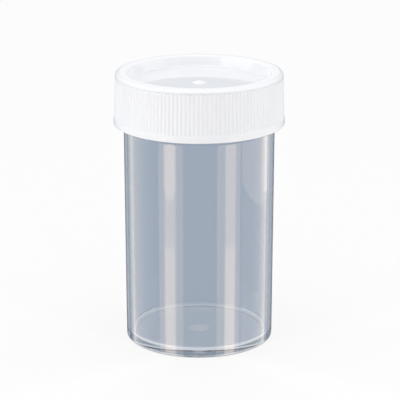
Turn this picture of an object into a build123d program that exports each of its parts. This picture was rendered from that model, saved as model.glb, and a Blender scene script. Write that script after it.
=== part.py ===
"""Slide staining jar: a clear moulded jar closed by a ribbed screw cap.

Millimetres, +Z up. The origin is the centre of the foot ring, on the surface the jar stands on.
Both mouldings are revolved from half sections drawn in the XZ plane, with X as the radius.
Screw threads are too fine for this model: the neck and the inside of the skirt are plain here.
"""
import os
from math import radians, tan

from build123d import *

# ---- jar: overall sizes ----
jar_diameter = 55.0          # outside, just under the shoulder
jar_height = 95.0            # foot ring to rim
wall = 2.0                   # side wall
outside_draft = 0.25         # degrees: the body narrows towards the foot
inside_draft = 0.25          # degrees: the bore narrows towards the floor

# ---- jar: floor and foot ring ----
floor_thickness = 1.5
foot_height = 0.4            # the floor's underside is clear of the table by this much
foot_width = 2.6
heel_radius = 0.7            # outer bottom corner
inner_corner_radius = 2.4    # between floor and bore
gate_boss_diameter = 7.0     # low round boss on the floor, over the gate
gate_boss_height = 0.2
gate_well_diameter = 7.0     # dished well under the floor, round the gate
gate_well_depth = 0.3
gate_nub_diameter = 2.0      # stub of the sprue, kept short of the foot
gate_nub_height = 0.3
gate_nub_root = 0.5          # runs on this far into the floor

# ---- jar: shoulder and neck ----
neck_height = 15.6           # shoulder to rim
shoulder_width = 0.8         # step from the body in to the neck
shoulder_radius = 0.45       # outer corner of the step
neck_root_chamfer = 0.25     # inner corner of the step
rim_chamfer = 0.3            # both corners of the rim

# ---- cap: overall sizes ----
cap_height = 19.0            # hem to top of the raised rim
skirt_thickness = 1.95       # at the hem, measured to the rib crests
thread_room = 2.3            # radial room between neck and skirt for the screw threads
skirt_draft = 1.9            # degrees: the ribbed skirt narrows towards the top

# ---- cap: sunken panel and raised rim ----
panel_thickness = 1.3
seat_margin = 1.0            # the panel's seat reaches this far past the neck, all round
recess_depth = 4.2           # raised rim to panel
recess_draft = 19.0          # degrees: the recess opens upwards
recess_wall = 1.3            # at the rim, between the recess and the relief groove behind it
recess_edge_radius = 0.6     # rim to recess
recess_floor_radius = 1.6    # recess to panel
rim_edge_radius = 1.4        # rim to ribbed skirt
rim_thickness = 1.4          # over the relief groove
cap_gate_diameter = 5.0      # low domed gate mark in the middle of the panel
cap_gate_height = 0.4

# ---- cap: seal ring under the panel ----
seal_clearance = 0.2         # to the bore, all round
seal_thickness = 1.0
seal_length = 3.0
seal_lead_in = 0.5           # chamfer that guides the ring into the bore

# ---- cap: hem and grip ribs ----
hem_height = 2.7             # plain band under the ribs
hem_flare = 0.2              # stands out from the rib crests
hem_flare_height = 0.9       # the hem widens over this height
hem_radius = 0.5             # bottom outer corner
hem_inner_chamfer = 0.5      # eases the cap onto the neck
rib_count = 130
groove_depth = 0.34          # between the ribs
groove_width = 0.92          # at the rib crests
groove_run_out = 0.6         # sloped upper end of each groove
rib_top_margin = 0.05        # the grooves end this far below the rounded rim
rib_root_margin = 0.05       # and this far above the hem

# ---- sizes that follow ----
shoulder_height = jar_height - neck_height
body_radius = jar_diameter / 2
foot_radius = body_radius - shoulder_height * tan(radians(outside_draft))
neck_radius = body_radius - shoulder_width
rim_bore_radius = body_radius - wall
floor_height = foot_height + floor_thickness
floor_bore_radius = rim_bore_radius - (jar_height - floor_height) * tan(radians(inside_draft))

panel_underside = jar_height                       # the cap seats with its panel on the rim
panel_top = panel_underside + panel_thickness
cap_top = panel_top + recess_depth
hem_bottom = cap_top - cap_height
ribs_bottom = hem_bottom + hem_height
grooves_bottom = ribs_bottom + rib_root_margin
grooves_top = cap_top - rim_edge_radius - rib_top_margin

skirt_bore_radius = neck_radius + thread_room
crest_radius = skirt_bore_radius + skirt_thickness
hem_outer_radius = crest_radius + hem_flare
top_outer_radius = crest_radius - (cap_top - ribs_bottom) * tan(radians(skirt_draft))
groove_inner_radius = neck_radius + seat_margin    # the relief groove stays clear of the rim
groove_roof = cap_top - rim_thickness
recess_top_radius = groove_inner_radius - recess_wall
recess_radius = recess_top_radius - recess_depth * tan(radians(recess_draft))
seal_radius = rim_bore_radius - seal_clearance
seal_bottom = panel_underside - seal_length


def half_section(corners, rounds, bevels=()):
    """A half section with X as the radius and Y as the height, and its listed corners softened.

    `rounds` pairs a corner (radius, height) with its fillet radius, and `bevels` with its chamfer.
    """
    section = make_face(Polyline(corners, close=True))
    for soften, listed in ((fillet, rounds), (chamfer, bevels)):
        for (radius, height), amount in listed:
            corner = min(section.vertices(), key=lambda v: abs(v.X - radius) + abs(v.Y - height))
            section = soften(corner, amount)
    return section


def revolved(section):
    """The solid made by turning a half section about the Z axis."""
    return revolve(Plane.XZ * section, axis=Axis.Z)


def dome(diameter, height):
    """A shallow spherical cap standing on the XY plane at the origin."""
    chord = diameter / 2
    sphere_radius = (chord ** 2 + height ** 2) / (2 * height)
    ball = Sphere(sphere_radius).moved(Location((0, 0, height - sphere_radius)))
    return split(ball, bisect_by=Plane.XY, keep=Keep.TOP)


def make_jar():
    foot_inner_radius = foot_radius - foot_width
    corners = [
        (0, foot_height),
        (foot_inner_radius, foot_height),
        (foot_inner_radius, 0),
        (foot_radius, 0),
        (body_radius, shoulder_height),
        (neck_radius, shoulder_height),
        (neck_radius, jar_height),
        (rim_bore_radius, jar_height),
        (floor_bore_radius, floor_height),
        (0, floor_height),
    ]
    section = half_section(corners, rounds=[
        ((foot_radius, 0), heel_radius),
        ((body_radius, shoulder_height), shoulder_radius),
        ((floor_bore_radius, floor_height), inner_corner_radius),
    ], bevels=[
        ((neck_radius, shoulder_height), neck_root_chamfer),
        ((neck_radius, jar_height), rim_chamfer),
        ((rim_bore_radius, jar_height), rim_chamfer),
    ])
    body = revolved(section)
    body += dome(gate_boss_diameter, gate_boss_height).moved(Location((0, 0, floor_height)))
    body -= dome(gate_well_diameter, gate_well_depth).moved(Location((0, 0, foot_height)))
    well_top = foot_height + gate_well_depth
    nub = Cylinder(
        gate_nub_diameter / 2,
        gate_nub_height + gate_nub_root,
        align=(Align.CENTER, Align.CENTER, Align.MIN),
    )
    return body + Pos(0, 0, well_top - gate_nub_height) * nub


def grip_grooves():
    """Wedge cutters, one for each groove, that lean with the drafted skirt and run out at the top.

    A wedge has its edge along the bottom of the groove, and is twice as deep as the groove so that
    it stands clear of the rib crests.
    """
    length = grooves_top - grooves_bottom
    wedge_depth = 2 * groove_depth
    half_width = groove_width / 2 * wedge_depth / groove_depth
    corners = [(0, 0), (-half_width, -wedge_depth), (half_width, -wedge_depth)]
    wedge = extrude(make_face(Polyline(corners, close=True)), length)
    run_out = Plane(
        origin=(0, 0, length - groove_run_out),
        x_dir=(1, 0, 0),
        z_dir=(0, groove_run_out, groove_depth),
    )
    wedge = split(wedge, bisect_by=run_out, keep=Keep.BOTTOM)
    leaning = Pos(0, groove_depth - crest_radius, grooves_bottom) * Rot(-skirt_draft, 0, 0) * wedge
    pitch_angle = 360 / rib_count
    return [Rot(0, 0, (i + 0.5) * pitch_angle) * leaning for i in range(rib_count)]


def make_cap():
    hem_outer = (hem_outer_radius, hem_bottom)
    corners = [
        (0, panel_underside),
        (seal_radius - seal_thickness, panel_underside),
        (seal_radius - seal_thickness, seal_bottom),
        (seal_radius - seal_lead_in, seal_bottom),
        (seal_radius, seal_bottom + seal_lead_in),
        (seal_radius, panel_underside),
        (groove_inner_radius, panel_underside),
        (groove_inner_radius, groove_roof),
        (skirt_bore_radius, groove_roof),
        (skirt_bore_radius, hem_bottom + hem_inner_chamfer),
        (skirt_bore_radius + hem_inner_chamfer, hem_bottom),
        hem_outer,
        (hem_outer_radius, ribs_bottom - hem_flare_height),
        (crest_radius, ribs_bottom),
        (top_outer_radius, cap_top),
        (recess_top_radius, cap_top),
        (recess_radius, panel_top),
        (0, panel_top),
    ]
    section = half_section(corners, rounds=[
        (hem_outer, hem_radius),
        ((top_outer_radius, cap_top), rim_edge_radius),
        ((recess_top_radius, cap_top), recess_edge_radius),
        ((recess_radius, panel_top), recess_floor_radius),
    ])
    body = revolved(section)
    body += dome(cap_gate_diameter, cap_gate_height).moved(Location((0, 0, panel_top)))
    return body - grip_grooves()


def main():
    os.makedirs("parts", exist_ok=True)
    for name, shape in (("jar", make_jar()), ("cap", make_cap())):
        shape.label = name
        export_step(shape, f"parts/{name}.step")


main()
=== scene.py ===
"""Looks of a clear moulded jar with a ribbed white screw cap, laid out as a Blender add-on.

Lengths are metres. Both pieces are turned about the jar's axis from half profiles, each a run of
(radius, height) points, and the grip ribs and the screw threads are shaped into the turned mesh.
"""
from math import ceil, cos, pi, radians, sin, tan

import bpy
from bpy.props import FloatProperty, FloatVectorProperty, IntProperty, PointerProperty
from mathutils import Matrix, Vector


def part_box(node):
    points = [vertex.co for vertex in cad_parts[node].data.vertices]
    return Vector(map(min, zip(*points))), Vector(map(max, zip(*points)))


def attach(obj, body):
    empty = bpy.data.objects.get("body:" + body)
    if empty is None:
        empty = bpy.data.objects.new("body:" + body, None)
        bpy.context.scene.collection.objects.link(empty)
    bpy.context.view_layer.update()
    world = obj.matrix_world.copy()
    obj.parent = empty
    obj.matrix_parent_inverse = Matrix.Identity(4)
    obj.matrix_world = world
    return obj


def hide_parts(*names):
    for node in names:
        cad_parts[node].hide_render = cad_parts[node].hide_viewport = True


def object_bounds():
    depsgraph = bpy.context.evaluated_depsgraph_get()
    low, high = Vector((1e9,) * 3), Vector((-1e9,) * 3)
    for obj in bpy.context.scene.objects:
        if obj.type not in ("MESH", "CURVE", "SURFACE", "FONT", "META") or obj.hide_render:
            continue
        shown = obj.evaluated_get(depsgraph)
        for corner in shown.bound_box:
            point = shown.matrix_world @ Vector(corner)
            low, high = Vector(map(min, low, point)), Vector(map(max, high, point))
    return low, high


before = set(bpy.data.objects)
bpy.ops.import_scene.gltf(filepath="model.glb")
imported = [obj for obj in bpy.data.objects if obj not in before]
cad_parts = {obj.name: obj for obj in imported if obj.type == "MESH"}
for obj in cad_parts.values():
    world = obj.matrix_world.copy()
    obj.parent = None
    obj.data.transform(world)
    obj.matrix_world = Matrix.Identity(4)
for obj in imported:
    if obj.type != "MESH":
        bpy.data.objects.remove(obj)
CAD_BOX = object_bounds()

bl_info = {
    "name": "Clear Screw Cap Jar",
    "version": (1, 0, 0),
    "blender": (4, 5, 0),
    "location": "View3D > Sidebar > Jar",
    "description": "Builds a clear moulded jar, its ribbed white screw cap, and a plain studio",
    "category": "Add Mesh",
}

MM = 0.001
JAR_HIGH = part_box("jar")[1]
CAP_LOW, CAP_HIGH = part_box("cap")

JAR_SEGMENTS = 320        # round the jar
RIB_SEGMENTS = 12         # across each grip rib of the cap
PLAIN_SEGMENTS = 2        # the same, where the cap has no ribs
THREAD_STEP = 0.3 * MM    # height between the rings that carry a thread
THREAD_END = 12           # each end of a thread fades out over a turn divided by this
THREAD_FLANK = 1.8        # above 1 leaves a flat crest between the flanks of a thread
FLAT_START = 1.1          # the flat round a gate mark starts at this many of its radii
SAME = 0.01 * MM          # lengths closer than this count as equal


# ---------------------------------------------------------------- sizes and colours

def size(name, description, default):
    """A length that a user can change, in metres."""
    return FloatProperty(name=name, description=description, default=default,
                         subtype="DISTANCE", unit="LENGTH", precision=5)


def slope(name, description, default):
    """An angle that a user can change, with its default given in degrees."""
    return FloatProperty(name=name, description=description, default=radians(default),
                         subtype="ANGLE", unit="ROTATION")


def colour(name, description, default):
    """A colour that a user can change, in linear light."""
    return FloatVectorProperty(name=name, description=description, default=default,
                               subtype="COLOR", size=3, min=0.0, max=1.0)


class JarSizes(bpy.types.PropertyGroup):
    """Sizes of the clear jar."""
    body_radius: size("Body radius", "Outside radius under the shoulder", JAR_HIGH.x)
    height: size("Height", "Foot ring to rim", JAR_HIGH.z)
    wall: size("Wall", "Side wall at the rim, measured in from the body radius", 2.0 * MM)
    draft: slope("Draft", "How far the wall leans in towards the floor", 0.25)
    floor: size("Floor", "Thickness of the floor", 1.7 * MM)
    foot_height: size("Foot height", "Gap under the floor, inside the foot ring", 0.4 * MM)
    foot_width: size("Foot width", "Width of the foot ring", 2.6 * MM)
    heel_rounding: size("Heel rounding", "Outer bottom edge", 0.7 * MM)
    bevel_height: size("Bevel height", "Sloped corner between the floor and the bore", 1.5 * MM)
    bevel_width: size("Bevel width", "How far that slope reaches in from the bore", 1.5 * MM)
    bevel_rounding: size("Bevel rounding", "Both ends of that slope", 1.1 * MM)
    neck_height: size("Neck height", "Shoulder to rim", 14.95 * MM)
    shoulder: size("Shoulder", "Step in from the body to the neck", 0.8 * MM)
    shoulder_rise: size("Shoulder rise", "Height of the slope from body to neck", 1.2 * MM)
    shoulder_rounding: size("Shoulder rounding", "Both ends of that slope", 0.6 * MM)
    rim_rounding: size("Rim rounding", "Both edges of the rim", 0.3 * MM)
    gate_boss_radius: size("Gate boss radius", "Low round boss on the floor", 3.5 * MM)
    gate_boss_height: size("Gate boss height", "Height of that boss", 0.04 * MM)
    gate_well_depth: size("Gate well depth", "Shallow well under the boss", 0.04 * MM)
    gate_nub_radius: size("Gate nub radius", "Stub of the sprue in the well", 0.5 * MM)
    gate_nub_height: size("Gate nub height", "Height of that stub", 0.1 * MM)


class CapSizes(bpy.types.PropertyGroup):
    """Sizes of the screw cap."""
    hem_radius: size("Hem radius", "Outside radius of the plain band at the bottom", CAP_HIGH.x)
    hem_flare: size("Hem flare", "How far the hem stands out from the rib crests", 0.2 * MM)
    hem_flare_height: size("Hem flare height", "Height over which the hem widens", 0.9 * MM)
    hem_height: size("Hem height", "Height of the plain band", 2.7 * MM)
    hem_rounding: size("Hem rounding", "Bottom outer edge", 0.5 * MM)
    hem_lead_in: size("Hem lead-in", "Chamfer inside the hem", 0.5 * MM)
    skirt: size("Skirt", "Thickness of the ribbed skirt at the hem", 1.95 * MM)
    skirt_draft: slope("Skirt draft", "How far the skirt leans in towards the top", 1.9)
    rim_rounding: size("Rim rounding", "Outer top edge", 1.4 * MM)
    seat_margin: size("Seat margin", "How far the panel's seat reaches past the neck", 1.0 * MM)
    recess_depth: size("Recess depth", "Raised rim to panel", 4.2 * MM)
    recess_draft: slope("Recess draft", "How far the recess opens upwards", 19.0)
    recess_edge_rounding: size("Recess edge rounding", "Inner top edge of the rim", 0.6 * MM)
    recess_floor_rounding: size("Recess floor rounding", "Corner beside the panel", 1.6 * MM)
    recess_wall: size("Recess wall", "Between the recess and the groove behind it", 1.3 * MM)
    rim_thickness: size("Rim thickness", "Over the groove behind the recess", 1.4 * MM)
    panel: size("Panel", "Thickness of the sunken panel", 1.3 * MM)
    gate_radius: size("Gate radius", "Low round mark in the middle of the panel", 2.5 * MM)
    gate_height: size("Gate height", "Height of that mark", 0.35 * MM)
    seal_clearance: size("Seal clearance", "Between the seal ring and the jar's bore", 0.2 * MM)
    seal: size("Seal", "Thickness of the seal ring", 1.0 * MM)
    seal_length: size("Seal length", "How far the seal ring reaches into the jar", 3.0 * MM)
    seal_lead_in: size("Seal lead-in", "Chamfer that guides the seal ring", 0.5 * MM)
    ribs: IntProperty(name="Ribs", description="Grip ribs round the skirt", default=130, min=3)
    rib_depth: size("Rib depth", "Depth of the grooves between ribs", 0.22 * MM)
    rib_run_out: size("Rib run-out", "Length over which the grooves fade at the top", 0.9 * MM)
    rib_fullness: FloatProperty(name="Rib fullness", description="Above 1 widens the ribs",
                                default=1.2)


class ThreadSizes(bpy.types.PropertyGroup):
    """Sizes of the screw thread that the jar and the cap share."""
    pitch: size("Pitch", "Rise in one turn", 4.5 * MM)
    depth: size("Depth", "How far each ridge stands out", 1.5 * MM)
    width: size("Width", "Width of a ridge at its root", 2.1 * MM)
    turns: FloatProperty(name="Turns", description="Length of a ridge in turns", default=1.4)
    below_rim: size("Below rim", "Top of the jar's ridge to the rim", 3.0 * MM)


class Finishes(bpy.types.PropertyGroup):
    """Colours of the two plastics, with paler copies that paint light and darker ones that paint
    shade.
    """
    clear: colour("Clear plastic", "Tint once through a wall", (0.562, 0.613, 0.681))
    clear_edge: colour("Clear plastic edge", "Tint of a wall seen edge on", (0.29, 0.33, 0.385))
    # a paler copy of the clear tint for the jar's floor and foot: painted light that keeps them as
    # light as the walls
    clear_floor_painted_light: colour("Clear plastic floor", "Tint of the floor", (0.84, 0.88, 0.93))
    clear_depth: colour("Clear plastic depth", "Tint of a long way through", (0.30, 0.45, 0.55))
    white: colour("White plastic", "Colour of the cap's skirt", (0.87, 0.875, 0.885))
    # a darker copy of the cap's white for the sunken panel: painted shade on the panel, which faces
    # the lamp above
    panel_shaded_white: colour("Panel white", "Colour of the sunken panel", (0.785, 0.79, 0.80))
    recess_white: colour("Recess white", "Colour of the wall round the panel", (0.865, 0.87, 0.88))
    rim_white: colour("Rim white", "Colour of the cap's flat rim", (0.865, 0.865, 0.865))
    # the rim's and the skirt's coat tints paint shade that greys the white towards the cap's
    # outline
    rim_outline_shade: colour("Rim skin", "Tint of the skin on the cap's rim", (0.990, 0.991, 0.992))
    skirt_outline_shade: colour("Skirt skin", "Tint of the skin on the cap's skirt", (0.962, 0.965, 0.968))


class StudioSettings(bpy.types.PropertyGroup):
    """Camera, floor and light."""
    camera_distance: size("Camera distance", "From the aim point", 681.0 * MM)
    camera_elevation: slope("Camera elevation", "Above the horizon", 16.9)
    aim_height: size("Aim height", "Height on the jar's axis that the camera looks at", 51.8 * MM)
    aim_side: size("Aim side", "How far beside the axis the camera stands", 0.29 * MM)
    lens: FloatProperty(name="Lens", description="Focal length in millimetres", default=166.1)
    paper: colour("Paper", "Colour of the floor and backdrop", (0.74, 0.74, 0.74))
    room: colour("Room", "Light of the room on the object", (0.86, 0.86, 0.88))
    surround: colour("Surround", "Board that glossy surfaces show", (0.38, 0.44, 0.50))


# ---------------------------------------------------------------- turned shapes

def mesh_object(name, vertices, faces):
    """A new mesh object in the scene."""
    mesh = bpy.data.meshes.new(name)
    mesh.from_pydata(vertices, [], faces)
    thing = bpy.data.objects.new(name, mesh)
    bpy.context.scene.collection.objects.link(thing)
    return thing


def rounded(corners, steps=7, support=0.12 * MM):
    """A half profile through (radius, height, rounding) corners, with each rounding as an arc.

    Each arc has one more point just past either end, so that smooth shading stays on the arc.
    """
    points = []
    for index, (radius, height, rounding) in enumerate(corners):
        corner = Vector((radius, height))
        if rounding <= 0 or index in (0, len(corners) - 1):
            points.append(corner)
            continue
        before = (Vector(corners[index - 1][:2]) - corner).normalized()
        after = (Vector(corners[index + 1][:2]) - corner).normalized()
        half_angle = before.angle(after) / 2
        reach = rounding / tan(half_angle)
        centre = corner + (before + after).normalized() * rounding / sin(half_angle)
        start = corner + before * reach - centre
        sweep = pi - 2 * half_angle
        turn = 1 if before.x * after.y - before.y * after.x < 0 else -1
        points.append(corner + before * (reach + support))
        for step in range(steps + 1):
            angle = turn * sweep * step / steps
            spoke = Matrix.Rotation(angle, 2) @ start
            points.append(centre + spoke)
        points.append(corner + after * (reach + support))
    return points


def filled(points, start, end, spacing):
    """The profile with points added between two heights, no further apart than spacing."""
    dense = [points[0]]
    for here, there in zip(points, points[1:]):
        middle = (here.y + there.y) / 2
        if min(start, end) <= middle <= max(start, end) and abs(there.y - here.y) > spacing:
            count = ceil(abs(there.y - here.y) / spacing)
            dense += [here.lerp(there, step / count) for step in range(1, count)]
        dense.append(there)
    return dense


def mound(radius, base, rise, steps=8, share=1.0):
    """A low smooth swelling from its edge to the axis; a negative rise gives a dish.

    It reaches its full rise over a share of the way in, and stays level from there. One more
    point just past either end of its slope keeps smooth shading on the slope.
    """
    beyond = 0.03
    points = [Vector((radius * (1 + beyond), base))]
    points += [Vector((radius * (1 - share * step / steps),
                       base + rise * (0.5 - 0.5 * cos(pi * step / steps))))
               for step in range(steps + 1)]
    if share < 1.0:
        points += [Vector((radius * (1 - share) * (1 - beyond), base + rise)),
                   Vector((0, base + rise))]
    return points


def turned(name, sections):
    """A closed mesh object turned from profile sections, each (points, segments, shape).

    The whole run starts and ends on the axis, and goes down the outside of the piece. Where two
    sections meet, the finer one's segments are a whole multiple of the coarser one's. A section's
    shape, where it has one, gives the radius at a point of its profile and an angle.
    """
    on_axis = 1e-7
    vertices, faces, rings = [], [], []
    for points, segments, shape in sections:
        for point in points:
            count = segments if point.x > on_axis else 1
            rings.append(range(len(vertices), len(vertices) + count))
            for segment in range(count):
                angle = 2 * pi * segment / count
                radius = shape(point.x, point.y, angle) if shape else point.x
                vertices.append((radius * cos(angle), radius * sin(angle), point.y))
    for upper, lower in zip(rings, rings[1:]):
        faces += strip(upper, lower)
    piece = mesh_object(name, vertices, faces)
    piece.data.shade_smooth()
    return piece


def strip(upper, lower):
    """Faces that join two rings whose counts are equal, or one a multiple of the other."""
    if len(upper) == 1 or len(lower) == 1:
        count = max(len(upper), len(lower))
        after = [(index + 1) % count for index in range(count)]
        if len(upper) == 1:
            return [(upper[0], lower[index], lower[after[index]]) for index in range(count)]
        return [(upper[after[index]], upper[index], lower[0]) for index in range(count)]
    coarse = min(len(upper), len(lower))
    faces = []
    for index in range(coarse):
        face = []
        for ring, backwards in ((upper, True), (lower, False)):
            step = len(ring) // coarse
            run = [ring[(index * step + k) % len(ring)] for k in range(step + 1)]
            face += run[::-1] if backwards else run
        faces.append(face)
    return faces


def smooth(value):
    """0 below 0, 1 above 1, and an even curve between."""
    value = min(max(value, 0.0), 1.0)
    return value * value * (3 - 2 * value)


def ridge(sizes, height, angle, start):
    """Height of a helical thread ridge, as a share of its depth, that starts at angle 0."""
    share = 0.0
    for turn in range(ceil(sizes.turns) + 1):
        along = angle / (2 * pi) + turn
        if not 0 <= along <= sizes.turns:
            continue
        off_centre = abs(height - start - sizes.pitch * along) / (sizes.width / 2)
        ends = smooth(along * THREAD_END) * smooth((sizes.turns - along) * THREAD_END)
        share = max(share, ends * smooth((1 - off_centre) * THREAD_FLANK))
    return share


# ---------------------------------------------------------------- the two pieces

def jar_piece(sizes, threads):
    """The clear jar, one moulding with its thread on the neck, and its floor and gate faces."""
    shoulder_height = sizes.height - sizes.neck_height
    lean = tan(sizes.draft)
    foot_radius = sizes.body_radius - shoulder_height * lean
    neck_radius = sizes.body_radius - sizes.shoulder
    bore_radius = sizes.body_radius - sizes.wall
    floor_height = sizes.foot_height + sizes.floor
    floor_radius = bore_radius - (sizes.height - floor_height) * lean
    foot_inner = foot_radius - sizes.foot_width
    foot_edge = 0.15 * MM

    well_top = sizes.foot_height + sizes.gate_well_depth
    nub = mound(sizes.gate_nub_radius, well_top, -sizes.gate_nub_height, steps=4, share=0.5)
    dish = mound(sizes.gate_boss_radius, sizes.foot_height, sizes.gate_well_depth)
    nub_edge = sizes.gate_nub_radius * FLAT_START
    underside = nub[::-1] + [point for point in dish[::-1] if point.x > nub_edge]
    flat_start = sizes.gate_boss_radius * FLAT_START
    outside = rounded([
        (flat_start, sizes.foot_height, 0),
        (foot_inner, sizes.foot_height, foot_edge),
        (foot_inner, 0, foot_edge),
        (foot_radius, 0, sizes.heel_rounding),
        (sizes.body_radius, shoulder_height, sizes.shoulder_rounding),
        (neck_radius, shoulder_height + sizes.shoulder_rise, sizes.shoulder_rounding),
        (neck_radius, sizes.height, sizes.rim_rounding),
        (bore_radius, sizes.height, sizes.rim_rounding),
        (floor_radius, floor_height + sizes.bevel_height, sizes.bevel_rounding),
        (floor_radius - sizes.bevel_width, floor_height, sizes.bevel_rounding),
        (flat_start, floor_height, 0),
    ])
    # the stretch of neck that can carry the thread, clear of the shoulder's slope and of the rim
    thread_low, thread_high = shoulder_height + 1.9 * MM, sizes.height - 1.0 * MM
    outside = filled(outside, thread_low, thread_high, THREAD_STEP)
    boss = mound(sizes.gate_boss_radius, floor_height, sizes.gate_boss_height)
    profile = underside + outside[1:-1] + boss
    start = sizes.height - threads.below_rim - threads.turns * threads.pitch

    def threaded(radius, height, angle):
        if abs(radius - neck_radius) > SAME:
            return radius
        return radius + threads.depth * ridge(threads, height, angle, start)

    piece = turned("jar_body", [(profile[::-1], JAR_SEGMENTS, threaded)])
    downward = -0.1     # a face looks down when its normal's height is below this
    # the floor and foot faces take the paler tint, which is painted light
    floor_faces = [face for face in piece.data.polygons
                   if face.center.z < floor_height + sizes.bevel_height
                   and face.center.xy.length < foot_inner]
    foot_faces = [face for face in piece.data.polygons
                  if face.center.xy.length > foot_inner and face.center.z < sizes.heel_rounding
                  and face.normal.z < downward]
    # the gate faces take an untinted copy of the clear plastic, which is painted light
    gate_faces = [face for face in piece.data.polygons
                  if face.center.xy.length < sizes.gate_boss_radius]
    return piece, (floor_faces + foot_faces, gate_faces)


def cap_piece(sizes, jar, threads):
    """The screw cap, one moulding with ribs outside and a thread inside.

    With it come its faces on the sunken panel, on the wall round that, and on the skirt.
    """
    top, bottom = CAP_HIGH.z, CAP_LOW.z
    crest = sizes.hem_radius - sizes.hem_flare
    ribs_bottom = bottom + sizes.hem_height
    ribs_top = top - sizes.rim_rounding
    lean = tan(sizes.skirt_draft)
    top_radius = crest - (top - ribs_bottom) * lean
    bore = crest - sizes.skirt
    panel_top = top - sizes.recess_depth
    panel_low = panel_top - sizes.panel
    groove_inner = jar.body_radius - jar.shoulder + sizes.seat_margin
    recess_top = groove_inner - sizes.recess_wall
    recess_radius = recess_top - sizes.recess_depth * tan(sizes.recess_draft)
    groove_roof = top - sizes.rim_thickness
    seal_radius = jar.body_radius - jar.wall - sizes.seal_clearance
    seal_low = panel_low - sizes.seal_length
    seam = top_radius - sizes.rim_rounding - 0.4 * MM     # a ring on the flat of the rim
    flare_edge, lead_in_edge = 0.3 * MM, 0.1 * MM
    groove_corner, seal_corner, seal_tip = 0.4 * MM, 0.2 * MM, 0.15 * MM

    gate = mound(sizes.gate_radius, panel_top, sizes.gate_height, share=0.35)[::-1]
    panel = gate[:-1] + rounded([
        (sizes.gate_radius * FLAT_START, panel_top, 0),
        (recess_radius, panel_top, sizes.recess_floor_rounding),
        (recess_top, top, sizes.recess_edge_rounding),
        (seam - 0.2 * MM, top, 0),
    ])
    rim = rounded([
        (seam, top, 0),
        (top_radius, top, sizes.rim_rounding),
        (top_radius + (top - ribs_top) * lean, ribs_top, 0),
    ])[:-1]
    top_fade, top_steps = sizes.rib_run_out, 6
    bottom_fade, bottom_steps = sizes.rib_run_out / 3, 3
    heights = [ribs_top - top_fade * step / top_steps for step in range(top_steps + 1)]
    heights += [ribs_bottom + bottom_fade * (1 - step / bottom_steps)
                for step in range(bottom_steps + 1)]
    skirt = [Vector((crest - (height - ribs_bottom) * lean, height)) for height in heights]
    hem = rounded([
        (crest, ribs_bottom, 0),
        (sizes.hem_radius, ribs_bottom - sizes.hem_flare_height, flare_edge),
        (sizes.hem_radius, bottom, sizes.hem_rounding),
        (bore + sizes.hem_lead_in, bottom, lead_in_edge),
        (bore, bottom + sizes.hem_lead_in, lead_in_edge),
        (bore, groove_roof, groove_corner),
        (groove_inner, groove_roof, groove_corner),
        (groove_inner, panel_low, seal_corner),
        (seal_radius, panel_low, seal_corner),
        (seal_radius, seal_low + sizes.seal_lead_in, seal_corner),
        (seal_radius - sizes.seal_lead_in, seal_low, seal_tip),
        (seal_radius - sizes.seal, seal_low, seal_tip),
        (seal_radius - sizes.seal, panel_low, seal_corner),
        (0, panel_low, 0),
    ], steps=4)[1:]
    # half a pitch below the jar's ridge, so that each lies between the turns of the other
    start = jar.height - threads.below_rim - (threads.turns + 0.5) * threads.pitch

    def ribbed(radius, height, angle):
        fade = smooth((ribs_top - height) / top_fade)
        fade *= smooth((height - ribs_bottom) / bottom_fade)
        groove = (0.5 - 0.5 * cos(sizes.ribs * angle)) ** sizes.rib_fullness
        return radius - sizes.rib_depth * groove * fade

    def threaded(radius, height, angle):
        if abs(radius - bore) > SAME:
            return radius
        return radius - threads.depth * ridge(threads, height, angle, start)

    coarse, fine = PLAIN_SEGMENTS * sizes.ribs, RIB_SEGMENTS * sizes.ribs
    inside = filled(hem, bottom + sizes.hem_lead_in, panel_low, THREAD_STEP)
    sections = [(panel + rim, coarse, None), (skirt, fine, ribbed), (inside, coarse, threaded)]
    piece = turned("cap_moulding", sections)
    gloss_top = top - sizes.recess_edge_rounding
    level = 0.8                        # a face is level when its normal's height is above this
    below_rim_flat = top - 0.001 * MM
    past_bore = bore + 0.1 * MM
    glossy_faces = [face for face in piece.data.polygons
                    if panel_top - SAME < face.center.z < gloss_top
                    and sizes.gate_radius < face.center.xy.length < recess_top]
    panel_faces = [face for face in glossy_faces if face.normal.z > level]
    recess_faces = [face for face in glossy_faces if face.normal.z <= level]
    skirt_faces = [face for face in piece.data.polygons
                   if face.center.z < below_rim_flat and face.center.xy.length > past_bore
                   or face.center.xy.length > top_radius - sizes.rim_rounding]
    return piece, (panel_faces, recess_faces, skirt_faces)


# ---------------------------------------------------------------- materials

CLEAR_IOR, WHITE_IOR = 1.585, 1.5
DEPTH_DENSITY = 4.0                     # how fast the tint of a long way through builds up
EDGE_START, EDGE_END = 0.60, 0.66       # facing values over which a clear wall turns edge on
LIGHT_INSIDE = 0.12                     # share of the light that enters the white plastic
LIGHT_REACH = 1.5 * MM                  # how far it spreads there
LIGHT_REACH_SHARES = (1.0, 0.95, 0.9)   # how much of that red, green and blue reach

# Moulded grain: how fine it is, its least and most roughness, and its relief's strength and depth.
CLEAR_GRAIN = {"scale": 60.0, "low": 0.0, "high": 0.03, "bump": 0.03, "depth": 0.02 * MM}
GATE_GRAIN = {"scale": 1500.0, "low": 0.0, "high": 0.05, "bump": 0.1, "depth": 0.05 * MM}
SATIN_GRAIN = {"scale": 400.0, "low": 0.42, "high": 0.46, "bump": 0.0, "depth": 0.01 * MM}
GLOSSY_GRAIN = {"scale": 120.0, "low": 0.04, "high": 0.08, "bump": 0.02, "depth": 0.02 * MM}


def new_material(name):
    """A new material, its links, its nodes and its shader."""
    material = bpy.data.materials.new(name)
    material.use_nodes = True
    nodes = material.node_tree.nodes
    return material, material.node_tree.links, nodes, nodes["Principled BSDF"]


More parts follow.
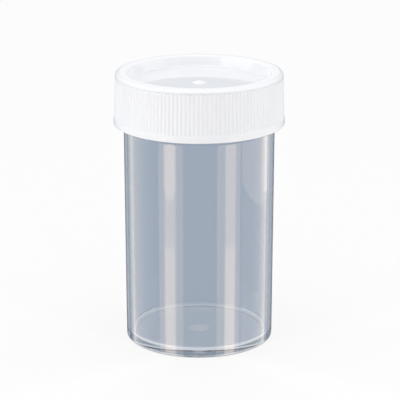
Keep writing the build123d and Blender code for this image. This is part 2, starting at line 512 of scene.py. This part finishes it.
def add_grain(links, nodes, shader, scale, low, high, bump, depth):
    """Uneven roughness between low and high, and a fine moulded grain."""
    place = nodes.new("ShaderNodeTexCoord")
    noise = nodes.new("ShaderNodeTexNoise")
    noise.inputs["Scale"].default_value = scale
    noise.inputs["Detail"].default_value = 4.0
    spread = nodes.new("ShaderNodeMapRange")
    spread.inputs["To Min"].default_value = low
    spread.inputs["To Max"].default_value = high
    relief = nodes.new("ShaderNodeBump")
    relief.inputs["Strength"].default_value = bump
    relief.inputs["Distance"].default_value = depth
    links.new(place.outputs["Object"], noise.inputs["Vector"])
    links.new(noise.outputs["Fac"], spread.inputs["Value"])
    links.new(spread.outputs["Result"], shader.inputs["Roughness"])
    links.new(noise.outputs["Fac"], relief.inputs["Height"])
    links.new(relief.outputs["Normal"], shader.inputs["Normal"])


def clear_plastic(name, finishes, tint, grain=CLEAR_GRAIN):
    """Clear plastic with one tint at its surface and another that grows with the way through."""
    material, links, nodes, shader = new_material(name)
    shader.inputs["IOR"].default_value = CLEAR_IOR
    shader.inputs["Transmission Weight"].default_value = 1.0
    shader.inputs["Base Color"].default_value = (*tint, 1.0)
    depth = nodes.new("ShaderNodeVolumeAbsorption")
    depth.inputs["Color"].default_value = (*finishes.clear_depth, 1.0)
    depth.inputs["Density"].default_value = DEPTH_DENSITY
    links.new(depth.outputs["Volume"], nodes["Material Output"].inputs["Volume"])
    add_grain(links, nodes, shader, **grain)
    return material


def add_edge_tint(material, finishes):
    """Deepens the tint where a clear wall is seen edge on."""
    nodes, links = material.node_tree.nodes, material.node_tree.links
    edge = nodes.new("ShaderNodeLayerWeight")
    edge.inputs["Blend"].default_value = 0.5
    ramp = nodes.new("ShaderNodeValToRGB")
    face_on, edge_on = ramp.color_ramp.elements
    face_on.position, face_on.color = EDGE_START, (*finishes.clear, 1.0)
    edge_on.position, edge_on.color = EDGE_END, (*finishes.clear_edge, 1.0)
    links.new(edge.outputs["Facing"], ramp.inputs["Fac"])
    links.new(ramp.outputs["Color"], nodes["Principled BSDF"].inputs["Base Color"])


def white_plastic(name, white, gloss, grain, outline_shade=None):
    """Moulded white plastic that light enters a little way.

    Its outline shade, where it has one, is a tinted coat without gloss of its own: painted shade
    that greys the white a little towards its outline.
    """
    material, links, nodes, shader = new_material(name)
    shader.inputs["Base Color"].default_value = (*white, 1.0)
    shader.inputs["IOR"].default_value = WHITE_IOR
    shader.inputs["Specular IOR Level"].default_value = gloss
    shader.inputs["Subsurface Weight"].default_value = LIGHT_INSIDE
    shader.inputs["Subsurface Radius"].default_value = LIGHT_REACH_SHARES
    shader.inputs["Subsurface Scale"].default_value = LIGHT_REACH
    # a coat with an IOR of 1 adds no gloss: its tint only paints shade towards the outline
    if outline_shade:
        shader.inputs["Coat Weight"].default_value = 1.0
        shader.inputs["Coat IOR"].default_value = 1.0
        shader.inputs["Coat Tint"].default_value = (*outline_shade, 1.0)
    add_grain(links, nodes, shader, **grain)
    return material


def glowing(name, tint=(1, 1, 1), strength=1.0):
    """A surface that glows with one tint."""
    material, links, nodes, shader = new_material(name)
    nodes.remove(shader)
    glow = nodes.new("ShaderNodeEmission")
    glow.inputs["Color"].default_value = (*tint, 1.0)
    glow.inputs["Strength"].default_value = strength
    links.new(glow.outputs["Emission"], nodes["Material Output"].inputs["Surface"])
    return material


def seen_directly(nodes, links):
    """1 for what the camera sees itself, in a reflection or through the clear plastic; else 0."""
    path = nodes.new("ShaderNodeLightPath")
    either = path.outputs["Is Camera Ray"]
    for ray in ("Is Glossy Ray", "Is Transmission Ray"):
        highest = nodes.new("ShaderNodeMath")
        highest.operation = "MAXIMUM"
        links.new(either, highest.inputs[0])
        links.new(path.outputs[ray], highest.inputs[1])
        either = highest.outputs[0]
    return either


# ---------------------------------------------------------------- lights

TOP_OF_WALL = 84.0           # millimetres up the jar: the cap hides the wall above this
TOP_FADE = 2.0               # millimetres over which a light's upper end softens
AMBER = (0.0, 0.21, 0.42)    # the shares of red, green and blue that warm light lacks


def band(value, start, end, fade_in, fade_out):
    """1 between start and end, fading to 0 inside either edge."""
    return smooth((value - start) / fade_in) * smooth((end - value) / fade_out)


class Light:
    """One upright light that the jar's wall mirrors, in degrees from the front and millimetres.

    Its fades are the degrees over which its two sides soften, its edge the height over which its
    lower end does, and its bow how much lower that end hangs in its middle. Its warmth runs from
    0, white, to 1, amber. A strength below 0 is the dark line that a black card leaves.
    """

    def __init__(self, sides, fades, strength, warmth=1.0, heights=(0.0, TOP_OF_WALL),
                 edge=2.0, bow=0.0):
        self.sides, self.fades, self.heights = sides, fades, heights
        self.strength, self.edge, self.bow = strength, edge, bow
        self.colour = Vector([1 - warmth * lack for lack in AMBER])

    def level(self, degrees, height):
        """Its strength at one place on the wall."""
        (start, end), (low, high) = self.sides, self.heights
        across = (2 * degrees - start - end) / (end - start)
        low += self.bow * across ** 2
        inside = smooth((height - low) / self.edge + 0.5) * smooth((high - height) / TOP_FADE)
        return self.strength * inside * band(degrees, start, end, *self.fades)


# Sides, fades, strength, and the warmth where it isn't full.
LIGHTS = (
    # left of the middle: a pale band, a brighter core, and its two brighter ends
    Light((-32.5, -11.5), (1.5, 1.5), 1.35),
    Light((-28.8, -16.2), (4.0, 3.4), 2.5),
    Light((-28.4, -16.6), (2.4, 2.2), 1.5, heights=(57.8, TOP_OF_WALL), edge=0.8, bow=5.0),
    Light((-28.2, -18.0), (1.8, 1.5), 1.25, heights=(0.0, 41.6)),
    # right of the middle: a pale band, a brighter core, and its brighter lower end
    Light((12.7, 33.0), (1.5, 1.5), 1.5),
    Light((18.8, 29.5), (2.0, 2.5), 2.5),
    Light((18.8, 29.5), (2.0, 2.5), 1.25, heights=(0.0, 41.6)),
    # the left edge: a thin strip with a long soft side, and outside it a dark and a pale line
    Light((-64.9, -53.5), (2.5, 9.0), 1.0, 0.7),
    Light((-64.5, -33.0), (2.0, 30.0), 0.8, 0.7),
    Light((-73.0, -67.0), (1.8, 1.8), -0.26, 0.0),
    Light((-80.0, -73.0), (2.0, 1.0), 0.15, 0.0),
    # the right edge: the same strip, two faint lights beside it, and a tongue of light from above
    Light((52.2, 63.6), (8.0, 3.0), 1.4, 0.7),
    Light((34.0, 64.8), (28.0, 3.0), 0.9, 0.7),
    Light((33.0, 45.0), (2.0, 8.0), 0.35, 0.7),
    Light((33.0, 56.0), (4.0, 6.0), 0.25, 0.7, heights=(0.0, 23.0)),
    Light((33.0, 77.0), (1.0, 34.0), 0.85, 0.7, heights=(54.0, TOP_OF_WALL), edge=0.8, bow=10.4),
    Light((52.5, 64.7), (8.0, 3.0), 1.0, 0.7, heights=(58.5, TOP_OF_WALL)),
)


def mirrored_on_floor(eye, radius, angle, height):
    """Where a sight line from the eye lands on the floor after an upright round wall mirrors it."""
    wall = Vector((radius * sin(angle), -radius * cos(angle), height))
    normal = Vector((sin(angle), -cos(angle), 0))
    sight = (wall - eye).normalized()
    onward = sight - 2 * sight.dot(normal) * normal
    return wall - onward * wall.z / onward.z


def seen_in_reflections_only(card):
    """Makes a stage card that lights nothing and shows only in reflections."""
    card.visible_camera = False
    card.visible_diffuse = False
    card.visible_transmission = False
    card.visible_shadow = False


def light_sheet(name, eye, radius, top, glow):
    """A glowing sheet on the floor that only reflections show.

    The glow is given where the wall of the jar mirrors the sheet: by degrees from the front of
    the jar, and by height.
    """
    columns, rows = 348, 160     # half a degree and about 0.6 mm apart
    reach = 87.0     # degrees to either side of the front
    vertices, colours = [], []
    for column in range(columns + 1):
        degrees = reach * (2 * column / columns - 1)
        for row in range(rows + 1):
            height = top * row / rows
            vertices.append(mirrored_on_floor(eye, radius, radians(degrees), height))
            colours += (*glow(degrees, height), 1.0)
    faces = []
    for column in range(columns):
        for row in range(rows):
            corner = column * (rows + 1) + row
            faces.append((corner, corner + 1, corner + rows + 2, corner + rows + 1))
    sheet = mesh_object(name, vertices, faces)
    painted_glow = sheet.data.color_attributes.new("glow", "FLOAT_COLOR", "POINT")
    painted_glow.data.foreach_set("color", colours)
    material = glowing(name)
    nodes, links = material.node_tree.nodes, material.node_tree.links
    painted = nodes.new("ShaderNodeAttribute")
    painted.attribute_name = "glow"
    links.new(painted.outputs["Color"], nodes["Emission"].inputs["Color"])
    sheet.data.materials.append(material)
    sheet.location.z = CAD_BOX[0].z + 0.2 * MM     # clear of the floor
    seen_in_reflections_only(sheet)


def softbox(name, distance, sides, lifts, strength):
    """A glowing panel that only reflections show, between two bearings and two elevations.

    Bearings are degrees from the front of the jar, positive to the right.
    """
    vertices = []
    for bearing in sides:
        for lift in lifts:
            turn, rise = radians(bearing), radians(lift)
            vertices.append((distance * sin(turn) * cos(rise), -distance * cos(turn) * cos(rise),
                             distance * sin(rise)))
    panel = mesh_object(name, vertices, [(0, 1, 3, 2)])
    panel.data.materials.append(glowing(name, strength=strength))
    panel.location.z = CAP_HIGH.z
    seen_in_reflections_only(panel)


def area_lamp(name, place, aim, width, power):
    """A square lamp that faces a point, with its power in watts."""
    light = bpy.data.lights.new(name, "AREA")
    light.shape = "RECTANGLE"
    light.size = light.size_y = width
    light.energy = power
    lamp = bpy.data.objects.new(name, light)
    lamp.location = place
    lamp.rotation_euler = (Vector(aim) - Vector(place)).to_track_quat("-Z", "Y").to_euler()
    bpy.context.scene.collection.objects.link(lamp)


# ---------------------------------------------------------------- operators

def settings():
    """The sizes, colours and studio that the operators build from."""
    return bpy.context.scene.jar_settings


def dress(piece, materials, zones):
    """Gives a piece its materials: the first to the whole, the others to one zone of faces each."""
    for material in materials:
        piece.data.materials.append(material)
    for index, faces in enumerate(zones, start=1):
        for face in faces:
            face.material_index = index


class BuildJar(bpy.types.Operator):
    """Builds the clear jar, in place of its plain solid"""
    bl_idname = "screw_cap_jar.build_jar"
    bl_label = "Build Jar"

    def execute(self, context):
        chosen = settings()
        piece, zones = jar_piece(chosen.jar, chosen.threads)
        finishes = chosen.finishes
        wall = clear_plastic("clear_plastic", finishes, finishes.clear)
        add_edge_tint(wall, finishes)
        # the floor and foot get a paler copy of the clear plastic, which is painted light
        floor = clear_plastic("clear_plastic_floor_painted_light", finishes, finishes.clear_floor_painted_light)
        # the gate mark gets an untinted copy of the clear plastic: painted light that lightens the
        # mark, with its own fine grain
        gate = clear_plastic("clear_plastic_gate_painted_light", finishes, (1.0, 1.0, 1.0), GATE_GRAIN)
        dress(piece, (wall, floor, gate), zones)
        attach(piece, "jar")
        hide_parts("jar")
        return {"FINISHED"}


class BuildCap(bpy.types.Operator):
    """Builds the screw cap, in place of its plain solid"""
    bl_idname = "screw_cap_jar.build_cap"
    bl_label = "Build Cap"

    def execute(self, context):
        chosen = settings()
        piece, zones = cap_piece(chosen.cap, chosen.jar, chosen.threads)
        finishes = chosen.finishes
        # the coat tints on the rim and the skirt are painted shade towards the cap's outline
        rim = white_plastic("white_satin_rim", finishes.rim_white, gloss=0.2,
                            grain=SATIN_GRAIN, outline_shade=finishes.rim_outline_shade)
        # the panel's darker white is painted shade
        panel = white_plastic("white_glossy_panel_painted_shade", finishes.panel_shaded_white, gloss=0.35,
                              grain=GLOSSY_GRAIN)
        recess = white_plastic("white_glossy_recess", finishes.recess_white, gloss=0.5,
                               grain=GLOSSY_GRAIN)
        skirt = white_plastic("white_satin_skirt", finishes.white, gloss=0.45,
                              grain=SATIN_GRAIN, outline_shade=finishes.skirt_outline_shade)
        dress(piece, (rim, panel, recess, skirt), zones)
        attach(piece, "cap")
        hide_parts("cap")
        return {"FINISHED"}


class BuildStudio(bpy.types.Operator):
    """Builds the floor, the soft light and the camera"""
    bl_idname = "screw_cap_jar.build_studio"
    bl_label = "Build Studio"

    def execute(self, context):
        chosen = settings().studio
        self.add_camera(context.scene, chosen)
        self.add_floor(chosen)
        self.add_world(context.scene, chosen)
        self.add_board(chosen)
        self.add_light_sheet(context.scene)
        self.add_softboxes()
        self.add_lamps()
        context.scene.view_settings.view_transform = "Standard"
        self.let_light_through(context.scene.cycles)
        return {"FINISHED"}

    def let_light_through(self, cycles):
        """Enough bounces for light that runs along inside a clear wall."""
        bounces = 32
        cycles.max_bounces = bounces
        cycles.glossy_bounces = bounces
        cycles.transmission_bounces = bounces

    def add_camera(self, scene, chosen):
        """A camera in front of the jar, a little above it, that looks down at its axis."""
        data = bpy.data.cameras.new("camera")
        data.lens = chosen.lens
        data.sensor_width = 36.0
        camera = bpy.data.objects.new("camera", data)
        lift = chosen.camera_elevation
        aim = Vector((chosen.aim_side, 0, chosen.aim_height))
        back = Vector((0, -cos(lift), sin(lift)))
        camera.location = aim + back * chosen.camera_distance
        camera.rotation_euler = Matrix.Rotation(pi / 2 - lift, 4, "X").to_euler()
        scene.collection.objects.link(camera)
        scene.camera = camera

    def add_floor(self, chosen):
        """A wide paper floor, white to the camera, that still takes the shadow of the object."""
        half = 3.0
        corners = [(-half, -half, 0), (half, -half, 0), (half, half, 0), (-half, half, 0)]
        floor = mesh_object("floor", corners, [(0, 1, 2, 3)])
        floor.location.z = CAD_BOX[0].z
        material, links, nodes, shader = new_material("paper")
        shader.inputs["Base Color"].default_value = (*chosen.paper, 1.0)
        shader.inputs["Roughness"].default_value = 0.9
        glow = nodes.new("ShaderNodeEmission")
        share = nodes.new("ShaderNodeMath")
        share.operation = "MULTIPLY"
        share.inputs[1].default_value = 0.86     # the rest is the paper, with the shadow
        mix = nodes.new("ShaderNodeMixShader")
        links.new(seen_directly(nodes, links), share.inputs[0])
        links.new(share.outputs[0], mix.inputs["Fac"])
        links.new(shader.outputs["BSDF"], mix.inputs[1])
        links.new(glow.outputs["Emission"], mix.inputs[2])
        links.new(mix.outputs["Shader"], nodes["Material Output"].inputs["Surface"])
        floor.data.materials.append(material)

    def add_world(self, scene, chosen):
        """A white backdrop, and the light of the room on the object."""
        world = bpy.data.worlds.new("studio")
        world.use_nodes = True
        scene.world = world
        nodes, links = world.node_tree.nodes, world.node_tree.links
        room = nodes["Background"]
        room.inputs["Color"].default_value = (*chosen.room, 1.0)
        white = nodes.new("ShaderNodeBackground")
        mix = nodes.new("ShaderNodeMixShader")
        links.new(seen_directly(nodes, links), mix.inputs["Fac"])
        links.new(room.outputs["Background"], mix.inputs[1])
        links.new(white.outputs["Background"], mix.inputs[2])
        links.new(mix.outputs["Shader"], nodes["World Output"].inputs["Surface"])

    def add_board(self, chosen):
        """A grey-blue board round the set that only reflections and clear walls show."""
        sides = 48
        radius, low, high = 1.3, 0.02, 0.56
        angles = [2 * pi * side / sides for side in range(sides)]
        vertices = [(radius * cos(angle), radius * sin(angle), height)
                    for height in (low, high) for angle in angles]
        faces = [(side, (side + 1) % sides, sides + (side + 1) % sides, sides + side)
                 for side in range(sides)]
        board = mesh_object("board", vertices, faces)
        board.visible_camera = False
        board.visible_diffuse = False
        board.visible_shadow = False
        board.data.materials.append(glowing("board", chosen.surround))

    def add_softboxes(self):
        """Bright panels to either side of the camera that only reflections show."""
        distance, strength = 1.0, 3.0
        softbox("left_softbox", distance, (-53, -39), (8, 32), strength)
        softbox("right_softbox", distance, (44, 58), (38, 60), strength)

    def add_light_sheet(self, scene):
        """Soft upright bands of light on the jar, as windows and light boxes leave on it."""
        jar, surround = settings().jar, Vector(settings().studio.surround)
        white = Vector((1, 1, 1))
        side_start, side_fade = 66, 2              # degrees where the board's tint takes over
        dusk_start, dusk_fade, dusk = 72, 8, 0.8   # degrees where that darkens, and its share

        def glow(degrees, height):
            """White to the jar's sides, the board's tint and dusk beyond, and the lights."""
            tint = white.lerp(surround, smooth((abs(degrees) - side_start) / side_fade))
            tint *= 1 - dusk * smooth((abs(degrees) - dusk_start) / dusk_fade)
            for light in LIGHTS:
                tint += light.level(degrees, height / MM) * light.colour
            return [max(share, 0.0) for share in tint]

        light_sheet("light_sheet", scene.camera.matrix_basis.translation, jar.body_radius,
                    CAP_HIGH.z, glow)

    def add_lamps(self):
        """Soft light from the left, from the right, and from above."""
        middle = (0, 0, 0.06)
        area_lamp("key_lamp", (-0.97, -0.26, 0.4), middle, width=0.8, power=2.9)
        area_lamp("fill_lamp", (1.0, -0.09, 0.4), middle, width=0.8, power=2.0)
        area_lamp("top_lamp", (0.0, -0.1, 1.4), middle, width=1.2, power=5.0)


# ---------------------------------------------------------------- panel and registration

class JarSettings(bpy.types.PropertyGroup):
    """Everything that the add-on builds from."""
    jar: PointerProperty(type=JarSizes)
    cap: PointerProperty(type=CapSizes)
    threads: PointerProperty(type=ThreadSizes)
    finishes: PointerProperty(type=Finishes)
    studio: PointerProperty(type=StudioSettings)


class JarPanel(bpy.types.Panel):
    """Lists the pieces that can be built"""
    bl_idname = "VIEW3D_PT_screw_cap_jar"
    bl_label = "Screw Cap Jar"
    bl_space_type = "VIEW_3D"
    bl_region_type = "UI"
    bl_category = "Jar"

    def draw(self, context):
        for operator in OPERATORS:
            self.layout.operator(operator.bl_idname)


OPERATORS = (BuildJar, BuildCap, BuildStudio)
CLASSES = (JarSizes, CapSizes, ThreadSizes, Finishes, StudioSettings, JarSettings,
           *OPERATORS, JarPanel)


def register():
    for cls in CLASSES:
        bpy.utils.register_class(cls)
    bpy.types.Scene.jar_settings = PointerProperty(type=JarSettings)


def unregister():
    del bpy.types.Scene.jar_settings
    for cls in reversed(CLASSES):
        bpy.utils.unregister_class(cls)


def main():
    register()
    bpy.ops.screw_cap_jar.build_jar()
    bpy.ops.screw_cap_jar.build_cap()
    bpy.ops.screw_cap_jar.build_studio()


if __name__ == "__main__":
    main()
